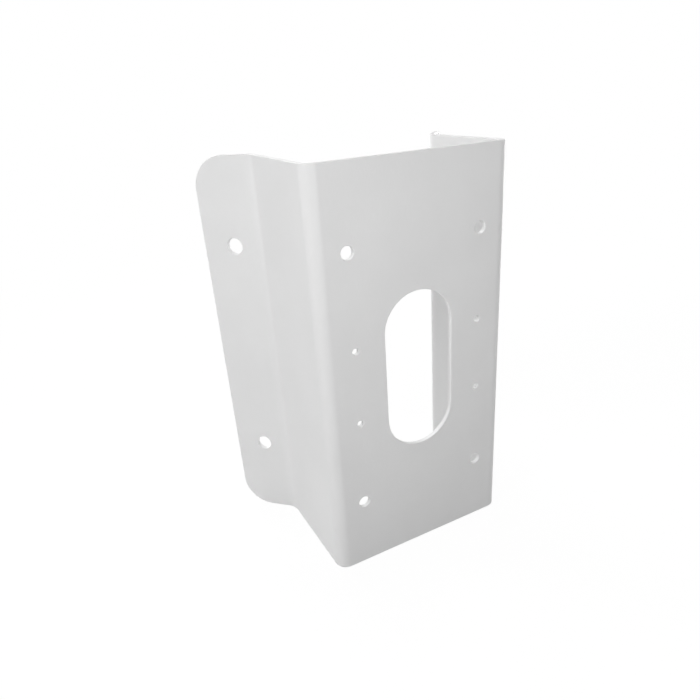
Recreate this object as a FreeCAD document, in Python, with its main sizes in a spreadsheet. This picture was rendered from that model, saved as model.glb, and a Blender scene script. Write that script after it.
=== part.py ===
import FreeCAD, Part
import math
import os

import Sketcher
from FreeCAD import Placement, Rotation, Vector

# Outside-corner bracket that carries a camera on the corner of a building. It is one sheet of steel: cut flat
# with its holes, the rims of the holes chamfered and the outline's edges rounded, then folded along four
# upright lines and powder coated white.
# The plate for the camera faces -Y, a side wall runs back from each side of it, and the two flanges turn out
# by 45 degrees, so that their back faces lie on both faces of a square building corner.
# The origin is the middle of the plate's front face, which is also the middle of its holes. +Z is up.

# Driving sizes, in millimetres and degrees. The side wall's and the flange's lengths run to the sharp corner
# that a fold rounds off, and a fold's radius is the one on its inside.
SIZES = {
    "sheet_thickness": 2.5,
    "bracket_height": 200.0,
    "plate_width": 101.0,
    "side_wall_length": 60.5,
    "flange_length": 31.0,
    "flange_angle": 45.0,
    "plate_fold_radius": 3.5,
    "flange_fold_radius": 10.0,
    "flange_corner_radius": 16.0,
    "edge_radius": 0.4,
    "rim_chamfer": 0.3,
    "cable_slot_length": 80.5,
    "cable_slot_width": 36.5,
    "outer_hole_diameter": 6.0,
    "outer_hole_spacing_across": 68.5,
    "outer_hole_spacing_up": 126.5,
    "inner_hole_diameter": 3.2,
    "inner_hole_spacing_across": 67.0,
    "inner_hole_spacing_up": 37.0,
    "wall_hole_diameter": 8.0,
    "wall_hole_spacing_up": 114.0,
    "wall_hole_edge_distance": 16.5,
}
NODE = "corner_bracket"

# Sketch places: the two ends and the centre of a piece of geometry, the sketch's axes and its origin.
START, END, CENTRE = range(1, 4)
ACROSS_AXIS, UP_AXIS = -1, -2
ORIGIN = (ACROSS_AXIS, START)

# Two points closer than this are the same, and faces that meet at more than this angle make a sharp edge.
SAME_PLACE = 1e-4
SHARP_DEGREES = 20.0


def write_sizes(doc):
    """Puts the driving sizes into a sheet whose cells carry their names."""
    sheet = doc.addObject("Spreadsheet::Sheet", "sizes")
    for row, (name, value) in enumerate(SIZES.items(), start=1):
        sheet.set(f"A{row}", name)
        sheet.set(f"B{row}", str(value))
        sheet.setAlias(f"B{row}", name)
    doc.recompute()
    return sheet


def origin_plane(body, role):
    return next(feature for feature in body.Origin.OriginFeatures if feature.Role == role)


def new_sketch(body, name, role):
    """An empty sketch on one of the body's own origin planes."""
    sketch = body.newObject("Sketcher::SketchObject", name)
    sketch.AttachmentSupport = [(origin_plane(body, role), "")]
    sketch.MapMode = "FlatFace"
    sketch.Visibility = False
    return sketch


def constrain(sketch, kind, *places):
    return sketch.addConstraint(Sketcher.Constraint(kind, *places))


def drive(sketch, name, expression, kind, *places):
    """A named dimension that follows the sheet of sizes. The last place is the value that it starts with."""
    index = constrain(sketch, kind, *places)
    sketch.renameConstraint(index, name)
    sketch.setExpression(f"Constraints.{name}", expression)


def section_corners(sheet):
    """Sharp corners of the section's right half, from the plate's front round the flange to its back."""
    half_width = sheet.plate_width / 2
    thickness = sheet.sheet_thickness
    angle = math.radians(sheet.flange_angle)
    outwards = Vector(math.sin(angle), math.cos(angle))
    backwards = Vector(-math.cos(angle), math.sin(angle))
    wall_end = Vector(half_width, sheet.side_wall_length)
    flange_end = wall_end + outwards * sheet.flange_length
    return [
        Vector(half_width, 0),
        wall_end,
        flange_end,
        flange_end + backwards * thickness,
        wall_end + Vector(-thickness, thickness * math.tan(angle / 2)),
        Vector(half_width - thickness, thickness),
    ]


def draw_section(body, sheet):
    """The folded sheet seen from above, with sharp folds: one closed outline, the same left and right."""
    sketch = new_sketch(body, "Section", "XY_Plane")
    right = section_corners(sheet)
    left = [Vector(-corner.x, corner.y) for corner in reversed(right)]
    corners = right + left
    count = len(corners)
    for index, corner in enumerate(corners):
        sketch.addGeometry(Part.LineSegment(corner, corners[(index + 1) % count]), False)
    for index in range(count):
        constrain(sketch, "Coincident", index, END, (index + 1) % count, START)
    for index in range(len(right)):
        constrain(sketch, "Symmetric", index, START, count - 1 - index, START, UP_AXIS)

    wall, flange, flange_edge, flange_back, wall_back, plate_back = range(len(right))
    plate_front = count - 1
    constrain(sketch, "PointOnObject", plate_front, START, ACROSS_AXIS)
    constrain(sketch, "Vertical", wall)
    constrain(sketch, "Vertical", wall_back)
    constrain(sketch, "Parallel", flange, flange_back)
    constrain(sketch, "Perpendicular", flange, flange_edge)
    thickness = sheet.sheet_thickness
    drive(sketch, "plate_width", "sizes.plate_width",
          "DistanceX", plate_front, START, plate_front, END, sheet.plate_width)
    drive(sketch, "wall_length", "sizes.side_wall_length",
          "DistanceY", wall, START, wall, END, sheet.side_wall_length)
    drive(sketch, "flange_length", "sizes.flange_length",
          "Distance", flange, sheet.flange_length)
    drive(sketch, "flange_angle", "180 deg - sizes.flange_angle * 1 deg",
          "Angle", wall, END, flange, START, math.radians(180 - sheet.flange_angle))
    drive(sketch, "flange_thickness", "sizes.sheet_thickness",
          "Distance", flange_edge, thickness)
    drive(sketch, "wall_thickness", "sizes.sheet_thickness",
          "DistanceX", plate_back, START, wall, START, thickness)
    drive(sketch, "plate_thickness", "sizes.sheet_thickness",
          "DistanceY", wall, START, plate_back, START, thickness)
    return sketch


def pad_section(body, section):
    pad = body.newObject("PartDesign::Pad", "FoldedSheet")
    pad.Profile = section
    pad.Midplane = True
    pad.setExpression("Length", "sizes.bracket_height")
    return pad


def edges_with_middle(shape, middle):
    """Names of the edges whose middle is at this point or its mirror images in X = 0 and Z = 0."""
    names = []
    for number, edge in enumerate(shape.Edges, start=1):
        found = edge.CenterOfMass
        mirrored = Vector(abs(found.x), found.y, abs(found.z))
        if mirrored.distanceToPoint(middle) < SAME_PLACE:
            names.append(f"Edge{number}")
    return names


def round_edges(body, name, choose, radius):
    """Rounds the chosen edges of the body as it is now. The radius is an expression."""
    body.Document.recompute()
    base = body.Tip
    fillet = body.newObject("PartDesign::Fillet", name)
    fillet.Base = (base, choose(base.Shape))
    fillet.setExpression("Radius", radius)
    return fillet


def chamfer_edges(body, name, choose, size):
    """Chamfers the chosen edges of the body as it is now. The size is an expression."""
    body.Document.recompute()
    base = body.Tip
    chamfer = body.newObject("PartDesign::Chamfer", name)
    chamfer.Base = (base, choose(base.Shape))
    chamfer.setExpression("Size", size)
    return chamfer


def fold_sheet(body, sheet):
    """Rounds each fold inside and outside, so that the sheet keeps its thickness round the fold."""
    plate_fold, wall_end, _, _, wall_end_back, plate_fold_back = section_corners(sheet)
    folds = [
        ("PlateFoldInside", plate_fold_back, "sizes.plate_fold_radius"),
        ("PlateFoldOutside", plate_fold, "sizes.plate_fold_radius + sizes.sheet_thickness"),
        ("FlangeFoldInside", wall_end, "sizes.flange_fold_radius"),
        ("FlangeFoldOutside", wall_end_back, "sizes.flange_fold_radius + sizes.sheet_thickness"),
    ]
    for name, corner, radius in folds:
        round_edges(body, name, lambda shape, corner=corner: edges_with_middle(shape, corner), radius)


def round_flange_corners(body, sheet):
    """The large round corners at the top and bottom of each flange."""
    _, _, flange_end, flange_end_back, _, _ = section_corners(sheet)
    middle = (flange_end + flange_end_back) / 2
    middle.z = sheet.bracket_height / 2
    round_edges(
        body, "FlangeCorners", lambda shape: edges_with_middle(shape, middle), "sizes.flange_corner_radius")


def draw_hole_rectangle(body, name, across, up, diameter, sheet):
    """Four circles round the plate's middle. Across, up and diameter name their sizes in the sheet."""
    sketch = new_sketch(body, name, "XZ_Plane")
    half_across = getattr(sheet, across) / 2
    half_up = getattr(sheet, up) / 2
    radius = getattr(sheet, diameter) / 2
    for side, level in ((1, 1), (-1, 1), (-1, -1), (1, -1)):
        centre = Vector(side * half_across, level * half_up)
        sketch.addGeometry(Part.Circle(centre, Vector(0, 0, 1), radius), False)
    top_right, top_left, bottom_left, bottom_right = range(4)
    constrain(sketch, "Symmetric", top_right, CENTRE, top_left, CENTRE, UP_AXIS)
    constrain(sketch, "Symmetric", top_left, CENTRE, bottom_left, CENTRE, ACROSS_AXIS)
    constrain(sketch, "Symmetric", bottom_left, CENTRE, bottom_right, CENTRE, UP_AXIS)
    for circle in (top_left, bottom_left, bottom_right):
        constrain(sketch, "Equal", top_right, circle)
    drive(sketch, "across", f"sizes.{across}",
          "DistanceX", top_left, CENTRE, top_right, CENTRE, 2 * half_across)
    drive(sketch, "up", f"sizes.{up}",
          "DistanceY", bottom_right, CENTRE, top_right, CENTRE, 2 * half_up)
    drive(sketch, "diameter", f"sizes.{diameter}",
          "Diameter", top_right, 2 * radius)
    return sketch


def draw_wall_holes(body, sheet):
    """Two circles on the right flange's front face, which leans by the flange's angle."""
    sketch = new_sketch(body, "WallHoleCentres", "XZ_Plane")
    fold_corner = Vector(sheet.plate_width / 2, 0, -sheet.side_wall_length)
    sketch.AttachmentOffset = Placement(fold_corner, Rotation(Vector(0, 1, 0), 90 - sheet.flange_angle))
    sketch.setExpression("AttachmentOffset.Base.x", "sizes.plate_width / 2")
    sketch.setExpression("AttachmentOffset.Base.z", "-sizes.side_wall_length")
    sketch.setExpression("AttachmentOffset.Rotation.Angle", "90 - sizes.flange_angle")
    from_fold = sheet.flange_length - sheet.wall_hole_edge_distance
    half_up = sheet.wall_hole_spacing_up / 2
    radius = sheet.wall_hole_diameter / 2
    upper = sketch.addGeometry(Part.Circle(Vector(from_fold, half_up), Vector(0, 0, 1), radius), False)
    lower = sketch.addGeometry(Part.Circle(Vector(from_fold, -half_up), Vector(0, 0, 1), radius), False)
    constrain(sketch, "Symmetric", upper, CENTRE, lower, CENTRE, ACROSS_AXIS)
    constrain(sketch, "Equal", upper, lower)
    drive(sketch, "from_fold", "sizes.flange_length - sizes.wall_hole_edge_distance",
          "DistanceX", *ORIGIN, upper, CENTRE, from_fold)
    drive(sketch, "up", "sizes.wall_hole_spacing_up",
          "DistanceY", lower, CENTRE, upper, CENTRE, 2 * half_up)
    drive(sketch, "diameter", "sizes.wall_hole_diameter",
          "Diameter", upper, 2 * radius)
    return sketch


def drill(body, name, centres, diameter):
    """Plain round holes through the sheet. The diameter names its size in the sheet of sizes."""
    body.Document.recompute()
    hole = body.newObject("PartDesign::Hole", name)
    hole.Profile = centres
    hole.ThreadType = "None"
    hole.DepthType = "ThroughAll"
    hole.setExpression("Diameter", f"sizes.{diameter}")
    return hole


def mirror_to_left(body, name, feature):
    body.Document.recompute()
    mirrored = body.newObject("PartDesign::Mirrored", name)
    mirrored.Originals = [feature]
    mirrored.MirrorPlane = (origin_plane(body, "YZ_Plane"), [""])
    body.Tip = mirrored
    return mirrored


def draw_cable_slot(body, sheet):
    """An upright slot in the plate's middle, with half-round ends."""
    sketch = new_sketch(body, "CableSlotOutline", "XZ_Plane")
    radius = sheet.cable_slot_width / 2
    half_straight = (sheet.cable_slot_length - sheet.cable_slot_width) / 2
    top = Part.Circle(Vector(0, half_straight), Vector(0, 0, 1), radius)
    bottom = Part.Circle(Vector(0, -half_straight), Vector(0, 0, 1), radius)
    upper_end = sketch.addGeometry(Part.ArcOfCircle(top, 0, math.pi), False)
    left = sketch.addGeometry(
        Part.LineSegment(Vector(-radius, half_straight), Vector(-radius, -half_straight)), False)
    lower_end = sketch.addGeometry(Part.ArcOfCircle(bottom, math.pi, 2 * math.pi), False)
    right = sketch.addGeometry(
        Part.LineSegment(Vector(radius, -half_straight), Vector(radius, half_straight)), False)
    outline = [upper_end, left, lower_end, right]
    for index, piece in enumerate(outline):
        constrain(sketch, "Tangent", piece, END, outline[(index + 1) % len(outline)], START)
    constrain(sketch, "Symmetric", upper_end, CENTRE, lower_end, CENTRE, *ORIGIN)
    constrain(sketch, "Vertical", left)
    constrain(sketch, "Equal", upper_end, lower_end)
    drive(sketch, "radius", "sizes.cable_slot_width / 2",
          "Radius", upper_end, radius)
    drive(sketch, "straight", "sizes.cable_slot_length - sizes.cable_slot_width",
          "DistanceY", lower_end, CENTRE, upper_end, CENTRE, 2 * half_straight)
    return sketch


def cut_cable_slot(body, outline):
    body.Document.recompute()
    pocket = body.newObject("PartDesign::Pocket", "CableSlot")
    pocket.Profile = outline
    pocket.Type = "ThroughAll"
    return pocket


def face_normal(face, point):
    return face.normalAt(*face.Surface.parameter(point))


def sharp_edges(shape):
    """Names of the edges where two faces meet at an angle, which are those that no finish has rounded yet."""
    names = []
    for number, edge in enumerate(shape.Edges, start=1):
        middle = edge.valueAt((edge.FirstParameter + edge.LastParameter) / 2)
        faces = shape.ancestorsOfType(edge, Part.Face)
        if len(faces) != 2:
            continue
        turn = math.degrees(face_normal(faces[0], middle).getAngle(face_normal(faces[1], middle)))
        if turn > SHARP_DEGREES:
            names.append(f"Edge{number}")
    return names


def build_bracket(doc, sheet):
    body = doc.addObject("PartDesign::Body", NODE)
    body.Label = NODE
    body.Placement = Placement(Vector(0, 0, 0), Rotation())
    pad_section(body, draw_section(body, sheet))
    fold_sheet(body, sheet)
    round_flange_corners(body, sheet)
    round_edges(body, "RoundedOutline", sharp_edges, "sizes.edge_radius")
    outer_centres = draw_hole_rectangle(
        body, "OuterHoleCentres",
        "outer_hole_spacing_across", "outer_hole_spacing_up", "outer_hole_diameter", sheet)
    drill(body, "OuterHoles", outer_centres, "outer_hole_diameter")
    inner_centres = draw_hole_rectangle(
        body, "InnerHoleCentres",
        "inner_hole_spacing_across", "inner_hole_spacing_up", "inner_hole_diameter", sheet)
    drill(body, "InnerHoles", inner_centres, "inner_hole_diameter")
    cut_cable_slot(body, draw_cable_slot(body, sheet))
    wall_holes = drill(body, "WallHoles", draw_wall_holes(body, sheet), "wall_hole_diameter")
    mirror_to_left(body, "WallHolesLeft", wall_holes)
    chamfer_edges(body, "ChamferedRims", sharp_edges, "sizes.rim_chamfer")
    return body


def check_model(doc, bodies):
    """Stops with a plain message if a feature failed or a piece has no good solid."""
    for feature in doc.Objects:
        if "Invalid" in feature.State or "Error" in feature.State:
            raise RuntimeError(f"{feature.Name} failed: {feature.State}")
    for body in bodies:
        if body.Shape.isNull() or not body.Shape.isValid() or not body.Shape.Solids:
            raise RuntimeError(f"{body.Label} has no valid solid")


def write_parts(bodies):
    os.makedirs("parts", exist_ok=True)
    for body in bodies:
        body.Shape.exportStep(f"parts/{body.Label}.step")
        box = body.Shape.optimalBoundingBox(False)
        print(f"{body.Label}: {body.Shape.Volume:.0f} mm3, {len(body.Shape.Faces)} faces,"
              f" {box.XLength:.2f} x {box.YLength:.2f} x {box.ZLength:.2f} mm")


doc = FreeCAD.newDocument("corner_bracket")
sizes = write_sizes(doc)
pieces = [build_bracket(doc, sizes)]
doc.recompute()
check_model(doc, pieces)
write_parts(pieces)
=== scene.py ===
import math

import bmesh
import bpy
from mathutils import Matrix, Vector


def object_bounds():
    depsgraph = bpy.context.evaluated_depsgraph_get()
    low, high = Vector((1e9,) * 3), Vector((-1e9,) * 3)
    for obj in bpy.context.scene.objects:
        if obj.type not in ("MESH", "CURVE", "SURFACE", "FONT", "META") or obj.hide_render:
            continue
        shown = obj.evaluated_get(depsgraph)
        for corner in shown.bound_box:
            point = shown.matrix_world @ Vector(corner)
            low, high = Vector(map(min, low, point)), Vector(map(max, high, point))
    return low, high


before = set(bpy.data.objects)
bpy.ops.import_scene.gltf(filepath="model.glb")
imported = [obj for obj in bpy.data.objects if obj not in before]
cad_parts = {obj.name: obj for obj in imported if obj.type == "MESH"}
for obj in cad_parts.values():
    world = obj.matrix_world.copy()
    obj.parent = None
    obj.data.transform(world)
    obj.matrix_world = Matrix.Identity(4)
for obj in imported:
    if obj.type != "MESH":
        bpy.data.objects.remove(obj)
cad_box = [list(corner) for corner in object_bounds()]

# The bracket: one sheet of 2.5 mm steel, folded along four upright lines, with drilled holes and a cable slot.
# White powder coat covers it all over. The coat is sprayed on dry and baked, so it flows round the edges and
# settles with a faint orange-peel texture, a satin gloss, and small differences in gloss from place to place.
COAT_COLOUR = (0.84, 0.84, 0.84, 1.0)
COAT_THIN_COLOUR = (0.818, 0.818, 0.818, 1.0)
COAT_REFRACTIVE_INDEX = 1.5
COAT_ROUGHNESS = 0.45
COAT_ROUGHNESS_SPREAD = 0.05
TINT_SIZE = 0.035
TINT_DETAIL = 3.0
GLOSS_SIZE = 0.0175
GLOSS_DETAIL = 4.0
PEEL_SIZE = 0.002
PEEL_DEPTH = 0.00005
POWDER_SIZE = 0.0006
POWDER_DEPTH = 0.00002
GRAIN_DETAIL = 2.0
NOISE_LOW = 0.3
NOISE_HIGH = 0.7
MIX_FIRST_COLOUR, MIX_SECOND_COLOUR, MIX_COLOUR_RESULT = 6, 7, 2
WELD_GAP = 0.00001
FLAT_WITHIN_DEGREES = 0.5
LARGE_FACES_LEAD = 100


def node_of(owner, kind, **settings):
    """A new node for the owner, which is a material or the room, with the node's own settings."""
    node = owner.node_tree.nodes.new(kind)
    for name, value in settings.items():
        setattr(node, name, value)
    return node


def noise(material, coordinates, size, detail):
    """Noise whose blotches are about this size, in metres."""
    node = node_of(material, "ShaderNodeTexNoise")
    node.inputs["Scale"].default_value = 1.0 / size
    node.inputs["Detail"].default_value = detail
    material.node_tree.links.new(coordinates, node.inputs["Vector"])
    return node.outputs["Fac"]


def spread(material, value, low, high):
    """The noise value stretched from its middle range to low and high."""
    node = node_of(material, "ShaderNodeMapRange", interpolation_type="SMOOTHSTEP")
    node.inputs["From Min"].default_value = NOISE_LOW
    node.inputs["From Max"].default_value = NOISE_HIGH
    node.inputs["To Min"].default_value = low
    node.inputs["To Max"].default_value = high
    material.node_tree.links.new(value, node.inputs["Value"])
    return node.outputs["Result"]


powder_coat = bpy.data.materials.new("powder_coat_white")
powder_coat.use_nodes = True
coat_links = powder_coat.node_tree.links
coat_shader = powder_coat.node_tree.nodes["Principled BSDF"]
coat_shader.inputs["IOR"].default_value = COAT_REFRACTIVE_INDEX
coat_place = node_of(powder_coat, "ShaderNodeTexCoord").outputs["Object"]

coat_tint = node_of(powder_coat, "ShaderNodeMix", data_type="RGBA")
coat_tint.inputs[MIX_FIRST_COLOUR].default_value = COAT_THIN_COLOUR
coat_tint.inputs[MIX_SECOND_COLOUR].default_value = COAT_COLOUR
tint_noise = noise(powder_coat, coat_place, TINT_SIZE, TINT_DETAIL)
coat_links.new(spread(powder_coat, tint_noise, 0.0, 1.0), coat_tint.inputs["Factor"])
coat_links.new(coat_tint.outputs[MIX_COLOUR_RESULT], coat_shader.inputs["Base Color"])

gloss_noise = noise(powder_coat, coat_place, GLOSS_SIZE, GLOSS_DETAIL)
roughness_low = COAT_ROUGHNESS - COAT_ROUGHNESS_SPREAD
roughness_high = COAT_ROUGHNESS + COAT_ROUGHNESS_SPREAD
coat_links.new(spread(powder_coat, gloss_noise, roughness_low, roughness_high), coat_shader.inputs["Roughness"])

peel_bump = node_of(powder_coat, "ShaderNodeBump")
peel_bump.inputs["Distance"].default_value = PEEL_DEPTH
coat_links.new(noise(powder_coat, coat_place, PEEL_SIZE, GRAIN_DETAIL), peel_bump.inputs["Height"])
powder_bump = node_of(powder_coat, "ShaderNodeBump")
powder_bump.inputs["Distance"].default_value = POWDER_DEPTH
coat_links.new(noise(powder_coat, coat_place, POWDER_SIZE, GRAIN_DETAIL), powder_bump.inputs["Height"])
coat_links.new(peel_bump.outputs["Normal"], powder_bump.inputs["Normal"])
coat_links.new(powder_bump.outputs["Normal"], coat_shader.inputs["Normal"])

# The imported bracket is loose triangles. Joined, with each flat made one face and the shading led by the large
# faces, its flats stay flat and its folds and rims run round smoothly under the coat.
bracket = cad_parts["corner_bracket"]
bracket.data.materials.clear()
bracket.data.materials.append(powder_coat)
joined_facets = bracket.modifiers.new("joined_facets", "WELD")
joined_facets.merge_threshold = WELD_GAP
whole_flats = bracket.modifiers.new("whole_flats", "DECIMATE")
whole_flats.decimate_type = "DISSOLVE"
whole_flats.angle_limit = math.radians(FLAT_WITHIN_DEGREES)
round_edges = bracket.modifiers.new("coat_round_edges", "WEIGHTED_NORMAL")
round_edges.mode = "FACE_AREA"
round_edges.weight = LARGE_FACES_LEAD

# The floor: a plain pale sheet that the bracket stands on. The camera, gloss and glass see it white, as in a
# studio picture, but for a faint soft shadow round the bracket's foot.
FLOOR_SIZE = 8.0
FLOOR_COLOUR = (0.7, 0.7, 0.7, 1.0)
SHADOW_SHARE = 0.08
SHADOW_OPEN_LIGHT = 0.8
SHADOW_FADE_FROM = 0.25
SHADOW_FADE_TO = 0.7
WHITE = (1.0, 1.0, 1.0, 1.0)

box_low, box_high = (Vector(corner) for corner in cad_box)
middle = (box_low + box_high) / 2
foot = Vector((middle.x, middle.y, box_low.z))

floor_shape = bmesh.new()
bmesh.ops.create_grid(floor_shape, x_segments=1, y_segments=1, size=FLOOR_SIZE / 2,
                      matrix=Matrix.Translation(foot))
floor_mesh = bpy.data.meshes.new("studio_floor")
floor_shape.to_mesh(floor_mesh)
floor_shape.free()
floor = bpy.data.objects.new("studio_floor", floor_mesh)
bpy.context.scene.collection.objects.link(floor)


def seen_white(owner, lit, white, output):
    """Shows the white shader to camera, glossy and transmission rays, and the lit one to all others."""
    links = owner.node_tree.links
    path = node_of(owner, "ShaderNodeLightPath")
    seen = path.outputs["Is Camera Ray"]
    for kind in ("Is Glossy Ray", "Is Transmission Ray"):
        either = node_of(owner, "ShaderNodeMath", operation="MAXIMUM")
        links.new(seen, either.inputs[0])
        links.new(path.outputs[kind], either.inputs[1])
        seen = either.outputs["Value"]
    choice = node_of(owner, "ShaderNodeMixShader")
    links.new(seen, choice.inputs["Fac"])
    links.new(lit, choice.inputs[1])
    links.new(white, choice.inputs[2])
    links.new(choice.outputs["Shader"], output.inputs["Surface"])


floor_material = bpy.data.materials.new("studio_floor_white")
floor_material.use_nodes = True
floor_material.node_tree.nodes.clear()
floor_links = floor_material.node_tree.links
floor_output = node_of(floor_material, "ShaderNodeOutputMaterial")
floor_lit = node_of(floor_material, "ShaderNodeBsdfDiffuse")
floor_lit.inputs["Color"].default_value = FLOOR_COLOUR

# The white floor is mostly glow, and a share of it is lit by the lamps. In the open the two add up to white,
# and beside the bracket some of the lit share is missing. Away from the foot, the share fades to nothing.
floor_place = node_of(floor_material, "ShaderNodeTexCoord").outputs["Object"]
from_foot = node_of(floor_material, "ShaderNodeVectorMath", operation="DISTANCE")
from_foot.inputs[1].default_value = foot
floor_links.new(floor_place, from_foot.inputs[0])
lit_share = node_of(floor_material, "ShaderNodeMapRange", interpolation_type="SMOOTHSTEP")
lit_share.inputs["From Min"].default_value = SHADOW_FADE_FROM
lit_share.inputs["From Max"].default_value = SHADOW_FADE_TO
lit_share.inputs["To Min"].default_value = SHADOW_SHARE
lit_share.inputs["To Max"].default_value = 0.0
floor_links.new(from_foot.outputs["Value"], lit_share.inputs["Value"])

glow_level = node_of(floor_material, "ShaderNodeMath", operation="MULTIPLY_ADD")
glow_level.inputs[1].default_value = -SHADOW_OPEN_LIGHT
glow_level.inputs[2].default_value = 1.0
floor_links.new(lit_share.outputs["Result"], glow_level.inputs[0])
floor_glow = node_of(floor_material, "ShaderNodeEmission")
floor_glow.inputs["Color"].default_value = WHITE
floor_links.new(glow_level.outputs["Value"], floor_glow.inputs["Strength"])
floor_shaded = node_of(floor_material, "ShaderNodeBsdfDiffuse")
floor_links.new(lit_share.outputs["Result"], floor_shaded.inputs["Color"])
floor_seen = node_of(floor_material, "ShaderNodeAddShader")
floor_links.new(floor_glow.outputs["Emission"], floor_seen.inputs[0])
floor_links.new(floor_shaded.outputs["BSDF"], floor_seen.inputs[1])
seen_white(floor_material, floor_lit.outputs["BSDF"], floor_seen.outputs["Shader"], floor_output)
floor_mesh.materials.append(floor_material)

# The room round it: white where the camera and the coat's gloss see it, and unlit for all else, so that the
# soft boxes give the bracket's faces the differences in tone that the picture shows.
ROOM_LIGHT = 0.0

room = bpy.data.worlds.new("white_room")
bpy.context.scene.world = room
room.use_nodes = True
room.node_tree.nodes.clear()
room_output = node_of(room, "ShaderNodeOutputWorld")
room_light = node_of(room, "ShaderNodeBackground")
room_light.inputs["Color"].default_value = WHITE
room_light.inputs["Strength"].default_value = ROOM_LIGHT
room_white = node_of(room, "ShaderNodeBackground")
room_white.inputs["Color"].default_value = WHITE
seen_white(room, room_light.outputs["Background"], room_white.outputs["Background"], room_output)

# The lamps: soft boxes, not seen by the camera, turned to the bracket's middle. Azimuth 0 is in front of the
# plate, and -90 is to its left. Each line has a name, azimuth and elevation in degrees, distance and size in
# metres, and watts. The last three stand close by, so that their light falls off down the bracket.
SOFT_BOXES = [
    ("back_box", 180.0, 50.0, 1.2, 0.8, 7.0),
    ("low_back_box", 180.0, 5.0, 1.2, 0.4, 2.4),
    ("left_box", -75.0, 20.0, 1.2, 0.4, 4.05),
    ("right_box", 90.0, 25.0, 1.2, 0.8, 3.9),
    ("back_right_box", 120.0, 5.0, 1.2, 0.4, 3.2),
    ("back_left_box", -125.0, 5.0, 1.2, 0.4, 1.8),
    ("top_box", 0.0, 85.0, 1.2, 0.8, 1.3),
    ("key_box", -30.0, 40.0, 0.5, 0.2, 0.5),
    ("near_box", -10.0, 20.0, 0.3, 0.15, 0.185),
    ("low_left_box", -110.0, 0.0, 0.3, 0.15, 0.03),
]


def soft_box(name, azimuth, elevation, distance, size, watts):
    """Adds a square lamp at this distance from the bracket's middle, turned to it."""
    turn, rise = math.radians(azimuth), math.radians(elevation)
    away = Vector((math.sin(turn) * math.cos(rise), -math.cos(turn) * math.cos(rise), math.sin(rise)))
    lamp = bpy.data.lights.new(name, "AREA")
    lamp.size = size
    lamp.energy = watts
    holder = bpy.data.objects.new(name, lamp)
    holder.location = middle + away * distance
    holder.rotation_euler = away.to_track_quat("Z", "Y").to_euler()
    holder.visible_camera = False
    bpy.context.scene.collection.objects.link(holder)


for values in SOFT_BOXES:
    soft_box(*values)

# The camera: a little above the bracket and to the left of it, close by, so that uprights draw together
# downwards. Its place is in metres, its turn in degrees, and its lens and film in millimetres.
CAMERA_PLACE = (-0.1398, -0.2147, 0.1258)
CAMERA_TURN = (65.53, 3.41, -28.51)
CAMERA_LENS = 30.56
CAMERA_FILM = 36.0
CAMERA_SHIFT = (-0.017, 0.007)
CAMERA_NEAREST = 0.01

lens = bpy.data.cameras.new("camera")
lens.lens = CAMERA_LENS
lens.sensor_width = CAMERA_FILM
lens.shift_x, lens.shift_y = CAMERA_SHIFT
lens.clip_start = CAMERA_NEAREST
camera = bpy.data.objects.new("camera", lens)
camera.location = CAMERA_PLACE
camera.rotation_euler = [math.radians(angle) for angle in CAMERA_TURN]
bpy.context.scene.collection.objects.link(camera)
bpy.context.scene.camera = camera
bpy.context.scene.view_settings.view_transform = "Standard"
